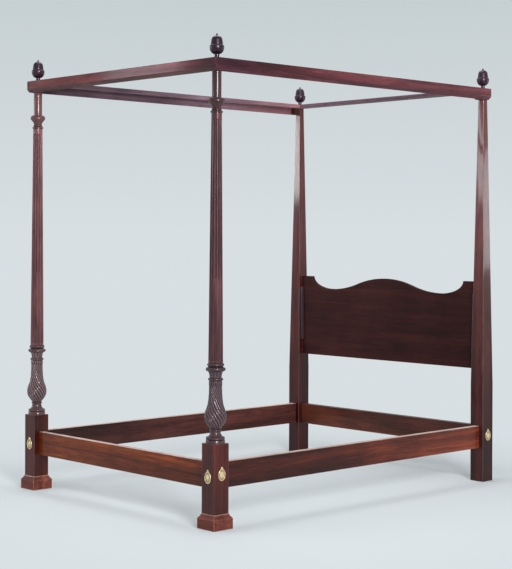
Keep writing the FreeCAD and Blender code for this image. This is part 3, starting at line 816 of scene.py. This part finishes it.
def lathe_mesh(name, points, count, offsets=0.0, twist=0.0, shares=None):
    """Closed mesh spun from an outline.

    It may have a carved offset and shares at each point, of dirt and painted shade, of wear and painted
    sheen, and of polish, and a twist at each height.
    """
    rows = len(points)
    radius, height = np.array(points).T
    angle = np.linspace(0, 2 * math.pi, count, endpoint=False) + np.zeros((rows, 1))
    angle = angle + np.reshape(twist, (-1, 1))
    out = radius[:, None] + offsets + np.zeros((rows, count))
    tall = height[:, None] + np.zeros_like(out)
    verts = np.stack([out * np.cos(angle), out * np.sin(angle), tall], axis=2).reshape(-1, 3).tolist()
    faces = []
    for row in range(rows - 1):
        for step in range(count):
            after = (step + 1) % count
            faces.append((row * count + step, row * count + after,
                          (row + 1) * count + after, (row + 1) * count + step))
    verts.append((0, 0, height[0]))
    verts.append((0, 0, height[-1]))
    low, high = rows * count, rows * count + 1
    for step in range(count):
        after = (step + 1) % count
        faces.append((low, after, step))
        faces.append((high, (rows - 1) * count + step, (rows - 1) * count + after))
    mesh = bpy.data.meshes.new(name)
    mesh.from_pydata(verts, [], faces)
    for label, share in (shares or {}).items():
        values = np.zeros(rows * count + 2, np.float32)
        values[:rows * count] = share.reshape(-1)
        mesh.attributes.new(label, "FLOAT", "POINT").data.foreach_set("value", values)
    return mesh


def carved_turning(name):
    """Carved part of a foot post, on the axis."""
    points = turning_outline().points
    post_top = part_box("foot_post_left")[1].z
    points.append((shaft_radius, post_top))
    radius, height = np.array(points).T
    angle = np.linspace(0, 2 * math.pi, points_round, endpoint=False) + np.zeros((len(points), 1))
    tall = height[:, None] + np.zeros_like(angle)
    wide = radius[:, None] + np.zeros_like(angle)
    vase = (tall > vase_foot + tiny) & (tall < throat_height - tiny)
    leaves = (tall > bell_foot + tiny) & (tall < bell_top - tiny)
    column = (tall > column_bottom) & (tall < column_top - tiny)
    shaft = tall > capital_crown - tiny
    petals = tall > throat_height - petal_height
    reeds = reed_carving(wide, tall, angle)
    offsets = np.where(petals, np.maximum(reeds, petal_carving(tall, angle)), reeds)
    offsets = np.where(vase, offsets, 0)
    offsets = np.where(leaves, lobe_carving(tall, angle), offsets)
    offsets = np.where(column, flute_carving(tall, angle), offsets)
    highest = offsets.max(axis=1, keepdims=True)
    deepest = np.maximum(highest - offsets.min(axis=1, keepdims=True), tiny)
    carved = np.where(deepest > least_carving, (highest - offsets) / deepest, 0)
    # Darkening: the shaft and the plain turnings evenly; the grooves of flutes, reeds and lobes and the
    # hollows of the outline as dirt and painted shade
    plain = np.where(shaft, shaft_darkening, np.where(vase | leaves | column, 0, plain_darkening))
    depth = np.where(column, column_dirt_and_shade * carved ** column_dirt_and_shade_power, carved ** vase_dirt_and_shade_power)
    recess = np.maximum(np.maximum(plain, depth), hollows(radius, height, hollow_reach)[:, None])
    # Crests mixed towards the edge tone: wear and painted sheen, most on the vase and the lobes
    crest = np.where(tall < column_bottom, low_wear_and_sheen, high_wear_and_sheen)
    crest = np.where(vase | leaves, 1 - vase_wear_and_sheen_fall * carved, crest)
    polish = np.where(column, column_polish, np.where(shaft, shaft_polish, turning_polish))
    reed_top = throat_height - petal_height
    twist = reed_twist * np.clip(reed_top - height, 0, reed_top - vase_foot)
    shares = {"recess": np.clip(recess, 0, 1), "crest": crest, "polish": polish}
    return lathe_mesh(name, points, points_round, offsets, twist, shares)


def joined(first, second):
    """Second object's mesh taken into the first."""
    for item in bpy.context.selected_objects:
        item.select_set(False)
    first.select_set(True)
    second.select_set(True)
    bpy.context.view_layer.objects.active = first
    bpy.ops.object.join()
    return first


def foot_post(side):
    node = "foot_post_" + side
    low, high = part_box(node)
    axis = (low + high) / 2
    block = softened_mesh(node, slim_edge, long_length, block_top + block_overlap)
    base = piece_from(node + "_wood", block, "block")
    turning = piece_from(node + "_turning", carved_turning(node + "_turning"), "carved_" + side)
    turning.data.transform(Matrix.Translation((axis.x, axis.y, 0)))
    made = joined(base, turning)
    even_shading(made)
    stand_for(made, node)


def close_loops(shape, loops):
    """Faces between each loop of points and the next, round to the first again."""
    for index, loop in enumerate(loops):
        after = loops[(index + 1) % len(loops)]
        for step in range(len(loop)):
            ahead = (step + 1) % len(loop)
            shape.faces.new((loop[step], after[step], after[ahead], loop[ahead]))


def plinth(side):
    """Mitred moulding round the foot of a foot post."""
    node = "foot_plinth_" + side
    low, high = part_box(node)
    centre = (low + high) / 2
    outer = (high.x - low.x) / 2
    inner = outer - plinth_thickness
    dip_reach = (outer + inner) / 2 - plinth_hollow
    dip_height = (plinth_straight + plinth_height) / 2 - plinth_hollow
    profile = [(inner, 0), (outer, 0), (outer, plinth_straight), (dip_reach, dip_height),
               (inner, plinth_height)]
    shape = bmesh.new()
    loops = []
    for sign_x, sign_y in ((-1, -1), (1, -1), (1, 1), (-1, 1)):
        loops.append([shape.verts.new((centre.x + sign_x * reach, centre.y + sign_y * reach, z))
                      for reach, z in profile])
    close_loops(shape, loops)
    bmesh.ops.recalc_face_normals(shape, faces=shape.faces)
    edges = [edge for edge in shape.edges if edge.calc_face_angle() > plinth_angle]
    round_edges(shape, edges, usual_edge)
    made = piece_from(node + "_wood", mesh_from(shape, node + "_softened"), "plinth")
    even_shading(made)
    stand_for(made, node)


def finial(place):
    """Acorn finial on its bored stem."""
    node = "finial_" + place
    low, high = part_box(node)
    outline = Outline(finial_bore_radius, finial_bore_height)
    outline.line(finial_bore_radius, 0)
    outline.line(finial_stem_radius, 0)
    outline.line(finial_stem_radius, finial_stem_height, finial_stem_steps)
    outline.sweep(cup_low_handles, cup_radius, cup_widest, cup_low_steps)
    outline.sweep(cup_high_handles, groove_radius, cup_top, cup_high_steps)
    outline.line(nut_radius, nut_foot, nut_foot_steps)
    outline.line(nut_shoulder_radius, nut_shoulder, nut_side_steps)
    nut_handles = (
        (between(nut_radius, nut_shoulder_radius, nut_run_on), between(nut_foot, nut_shoulder, nut_run_on)),
        (between(tip_radius, nut_radius, nut_fullness), nut_top))
    outline.curve(*nut_handles, tip_radius, nut_top, nut_steps)
    tip_handles = ((tip_radius, between(nut_top, tip_top, tip_rise)), (tip_radius * tip_fullness, tip_top))
    outline.curve(*tip_handles, tip_radius * tip_end, tip_top, tip_steps)
    turned = lathe_mesh(node + "_turned", outline.points, finial_points_round)
    made = piece_from(node + "_wood", turned, "finial")
    axis = (low + high) / 2
    made.data.transform(Matrix.Translation((axis.x, axis.y, low.z)))
    even_shading(made)
    stand_for(made, node)


def bead(share, middle, width):
    return half_round(np.clip((share - middle) / width, -1, 1))


def cover_height(share, angle):
    """Relief of a bolt cover above its back, from its middle (share 0) to its edge (share 1)."""
    boss = boss_height * np.sqrt(np.clip(1 - (share / boss_share) ** 2, 0, 1))
    ray_fade = np.clip(1 - ((share - ray_middle) / ray_reach) ** 2, 0, 1)
    rays = ray_height * np.cos(ray_count * angle) * ray_fade
    rim = rim_height * bead(share, rim_middle, rim_width)
    inner_ring = inner_ring_height * bead(share, inner_ring_middle, inner_ring_width)
    edge = -cover_edge_fall * np.clip((share - cover_edge_start) / (1 - cover_edge_start), 0, 1)
    return cover_thickness + boss + rays + rim + inner_ring + edge


def cover_oval(angle):
    """Distance from the middle of a cover to its oval."""
    return 1 / np.sqrt((np.cos(angle) / cover_half_width) ** 2 + (np.sin(angle) / cover_half_height) ** 2)


def cover_point(angle):
    """How far the edge of a cover stands out past its oval, in a point below the pin."""
    off_top = np.abs(np.mod(angle - math.pi / 2 + math.pi, 2 * math.pi) - math.pi)
    return cover_point_rise * np.exp(-(off_top / cover_point_width) ** 2)


def cover_grime(share, height):
    if share >= rim_grime_start:
        return rim_grime
    return max(0.0, min(1.0, 1 - (height - grime_height) / grime_span))


def cover_mesh(name):
    """Bolt cover in its own frame: across X, up Z, with its relief towards -Y."""
    angles = np.linspace(0, 2 * math.pi, cover_points_round, endpoint=False)
    shape = bmesh.new()
    layer = shape.verts.layers.float.new("recess")
    rows = []
    for share in cover_rows:
        stretch = max(0.0, (share - cover_point_start) / (1 - cover_point_start))
        reach = share * cover_oval(angles) + stretch * cover_point(angles)
        relief = cover_height(np.full_like(angles, share), angles)
        row = []
        for distance, angle, height in zip(reach, angles, relief):
            vert = shape.verts.new((distance * math.cos(angle), -height, distance * math.sin(angle)))
            vert[layer] = cover_grime(share, height)
            row.append(vert)
        rows.append(row)
    back = [shape.verts.new((vert.co.x, 0, vert.co.z)) for vert in rows[-1]]
    rows.append(back)
    top = shape.verts.new((0, -cover_height(np.zeros(1), np.zeros(1))[0], 0))
    for inner, outer in zip(rows, rows[1:]):
        for step in range(cover_points_round):
            after = (step + 1) % cover_points_round
            shape.faces.new((inner[step], inner[after], outer[after], outer[step]))
    for step in range(cover_points_round):
        shape.faces.new((top, rows[0][(step + 1) % cover_points_round], rows[0][step]))
    shape.faces.new(back)
    loops = []
    for step in range(eye_points_round):
        angle = 2 * math.pi * step / eye_points_round
        spots = [(reach * math.cos(angle), -height, cover_pin_rise + reach * math.sin(angle))
                 for reach, height in eye_profile]
        loops.append([shape.verts.new(spot) for spot in spots])
    close_loops(shape, loops)
    bmesh.ops.recalc_face_normals(shape, faces=shape.faces)
    return mesh_from(shape, name)


def bolt_cover(node):
    """Cover placed on the face of its post, where its solid is."""
    low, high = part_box(node)
    centre = (low + high) / 2
    height = high.z - cover_pin_rise - cover_eye_radius
    if "outer" in node:
        turn = math.radians(90 if centre.x > 0 else -90)
        foot = Vector((low.x if centre.x > 0 else high.x, centre.y, height))
    else:
        turn = math.radians(0 if centre.y < 0 else 180)
        foot = Vector((centre.x, high.y if centre.y < 0 else low.y, height))
    made = piece_from(node + "_brass", cover_mesh(node + "_relief"), "brass")
    made.data.transform(Matrix.Translation(foot) @ Matrix.Rotation(turn, 4, "Z"))
    even_shading(made)
    stand_for(made, node)


def finish_node(node, material):
    """Material for a node that is shown as its solid."""
    nodes[node].data.materials.clear()
    nodes[node].data.materials.append(materials[material])


# Wooden pieces that keep the shape of their solids, with rounded edges; the foot fascia is bevelled below
upward = (0, 0, 1)
downward = (0, 0, -1)
footward = (0, -1, 0)
bevelled = (0, -0.66, -0.75)
for side_name, inward in (("left", (1, 0, 0)), ("right", (-1, 0, 0))):
    rail = softened_piece("side_rail_" + side_name, "rail_y", fine_edge, long_length)
    # inner face: dull wood with painted shade
    face_material(rail, inward, "inner_y")
    # painted sheen on the top of the rail
    face_material(rail, upward, "rail_top")
    softened_piece("head_post_" + side_name, "head_post_" + side_name, fine_edge, long_length)
    softened_piece("headboard_cleat_" + side_name, "cleat", slim_edge)
    lath = softened_piece("tester_lath_" + side_name, "lath_y")
    # painted light on the underside of the lath
    face_material(lath, downward, "lath_under")
    fascia = softened_piece("fascia_" + side_name, "fascia_y", slim_edge)
    face_material(fascia, inward, "lath_y")
    face_material(fascia, footward, "fascia_x")
    # painted shadow: the corner block's dark, dull wood stands in for the shadow beside the head post
    softened_piece("tester_corner_block_" + side_name, "inner_y")
rail = softened_piece("foot_rail", "foot_rail", fine_edge, long_length)
# painted sheen on the top of the foot rail
face_material(rail, upward, "rail_top")
softened_piece("head_rail", "head_rail", fine_edge, long_length)
for lath_name in ("tester_lath_foot", "tester_lath_head"):
    softened_piece(lath_name, "lath_x")
fascia = softened_piece("fascia_foot", "fascia_x", slim_edge)
# painted reflection and shade on the lower bevel
face_material(fascia, bevelled, "fascia_under")
softened_piece("headboard", "board", board_edge, any_length)

# Turned, moulded and brass pieces
for side_name in ("left", "right"):
    foot_post(side_name)
    plinth(side_name)
    for end_name in ("foot", "head"):
        finial(end_name + "_" + side_name)
for node_name in sorted(nodes):
    if node_name.startswith("bolt_cover"):
        bolt_cover(node_name)

# Small fastenings, shown as their solids
iron_nodes = (
    "side_rail_bolts", "end_rail_bolts", "bolt_washers", "rail_nuts", "post_pins", "cleat_screws")
for node_name in iron_nodes:
    finish_node(node_name, "iron")
finish_node("cover_pins", "brass")
finish_node("fascia_dowels", "fascia_x")

# Floor and world; the floor melts into the background between its near and far distance
horizon = srgb(216, 223, 226)
overhead = srgb(197, 206, 209)
overhead_rise = 0.17
sky_light = 0.34
light_tint = (0.97, 0.99, 1.0, 1.0)
floor_radius = 60.0
floor_corners = 128
floor_drop = -0.0004
floor_near = 0.8
floor_far = 2.5
paper_tones = (srgb(216, 222, 225), srgb(220, 226, 229))
paper_noise = (220.0, 3.0, 0.6)
paper_range = (0.3, 0.7)
paper_roughness = 0.9


def seen(shader):
    """1 for rays that show the background: from the camera, off polish or metal, or through glass."""
    path = shader.node("LightPath", {}).outputs
    straight = shader.maths("MAXIMUM", path["Is Camera Ray"], path["Is Transmission Ray"])
    return shader.maths("MAXIMUM", straight, path["Is Glossy Ray"])


def floor_material():
    """Pale matt paper that takes the shadow near the bed and melts into the background far away."""
    shader = Shader(bpy.data.materials.new("floor_paper"))
    place = shader.place()
    distance = shader.node("VectorMath", {0: place}, operation="LENGTH").outputs["Value"]
    span = {"Value": distance, "From Min": floor_near, "From Max": floor_far}
    far = shader.node("MapRange", span, interpolation_type="SMOOTHSTEP").outputs["Result"]
    fibre = shader.spread(shader.noise(place, *paper_noise), *paper_range, 0.0, 1.0)
    inputs = {
        "Base Color": shader.mix(fibre, *paper_tones), "Roughness": paper_roughness,
        "Specular IOR Level": 0.0}
    paper = shader.node("BsdfPrincipled", inputs)
    glow = shader.node("Emission", {"Color": horizon, "Strength": 1.0})
    share = shader.times(far, seen(shader))
    both = shader.node("MixShader", {0: share, 1: paper.outputs[0], 2: glow.outputs[0]})
    shader.node("OutputMaterial", {"Surface": both.outputs[0]})
    return shader.owner


def add_floor():
    shape = bmesh.new()
    bmesh.ops.create_circle(shape, cap_ends=True, segments=floor_corners, radius=floor_radius)
    mesh = mesh_from(shape, "floor")
    floor = bpy.data.objects.new("floor", mesh)
    bpy.context.scene.collection.objects.link(floor)
    floor.location.z = floor_drop
    mesh.materials.append(floor_material())


def set_world():
    """Even light from all sides, and a pale sky that the camera sees."""
    world = bpy.data.worlds.new("studio")
    bpy.context.scene.world = world
    shader = Shader(world)
    direction = shader.node("TexCoord", {}).outputs["Generated"]
    rise = shader.node("SeparateXYZ", {0: direction}).outputs["Z"]
    sky = shader.ramp(shader.spread(rise, 0.0, overhead_rise, 0.0, 1.0), [(0.0, horizon), (1.0, overhead)])
    shown = shader.node("Background", {"Color": sky, "Strength": 1.0})
    light = shader.node("Background", {"Color": light_tint, "Strength": sky_light})
    both = shader.node("MixShader", {0: seen(shader), 1: light.outputs[0], 2: shown.outputs[0]})
    shader.node("OutputWorld", {"Surface": both.outputs[0]})


def softbox(name, place, target, size, power, lights=True, shines=True):
    """Area lamp that lights the wood, shows in its polish, or both; size is its width and height."""
    lamp = bpy.data.lights.new(name, "AREA")
    lamp.shape = "RECTANGLE"
    lamp.size, lamp.size_y = size
    lamp.energy = power
    lamp.color = light_tint[:3]
    made = bpy.data.objects.new(name, lamp)
    bpy.context.scene.collection.objects.link(made)
    made.location = place
    made.rotation_euler = (Vector(target) - Vector(place)).to_track_quat("-Z", "Y").to_euler()
    made.visible_camera = False
    made.visible_diffuse = lights
    made.visible_glossy = shines


# Camera at the photograph's angle, almost level, with its frame shifted down
camera_place = (5.354, -5.0764, 1.2704)
camera_turn = math.radians(46.82)
camera_roll = math.radians(0.23)
camera_lens = 91.28
camera_sensor = 36.0
camera_drop = -0.086


def add_camera():
    data = bpy.data.cameras.new("camera")
    data.lens = camera_lens
    data.sensor_width = camera_sensor
    data.shift_y = camera_drop
    made = bpy.data.objects.new("camera", data)
    bpy.context.scene.collection.objects.link(made)
    made.location = camera_place
    level = Matrix.Rotation(camera_turn, 3, "Z") @ Matrix.Rotation(math.radians(90), 3, "X")
    made.rotation_euler = (level @ Matrix.Rotation(camera_roll, 3, "Z")).to_euler()
    bpy.context.scene.camera = made


add_floor()
set_world()

# Soft light from above, from the right and from the left
bed_side = (0.3, -0.5, 1.2)
softbox("top_softbox", (-0.4, 0.2, 4.6), target=(0, 0, 0.6), size=(3.2, 3.2), power=100)
softbox("key_softbox", (7.2, -3.55, 3.3), target=bed_side, size=(1.8, 3.2), power=515)
softbox("left_softbox", (-4.6, -4.9, 3.0), target=(0, 0, 1.1), size=(6.0, 4.0), power=150, shines=False)

# Small lamps that show only in the polish of the foot fascia, the head posts and the turnings
softbox("fascia_strip", (-4.58, -4.8, 2.72), target=(0.3, -0.94, 2.0), size=(0.64, 0.35), power=10.5,
        lights=False)
softbox("left_strip", (-5.6, -3.96, 2.26), target=(-0.7, 0.94, 1.8), size=(0.3, 0.9), power=32,
        lights=False)
softbox("middle_strip", (-6.28, -8.07, 2.96), target=(0.7, 0.94, 1.75), size=(0.3, 1.05), power=30,
        lights=False)
softbox("right_strip", (3.14, 4.10, 1.57), target=(0.7, 0.94, 1.6), size=(0.5, 0.95), power=18,
        lights=False)
softbox("key_spot", (6.9, -3.5, 3.3), target=bed_side, size=(1.1, 1.1), power=220, lights=False)
add_camera()
bpy.context.scene.view_settings.view_transform = "Standard"
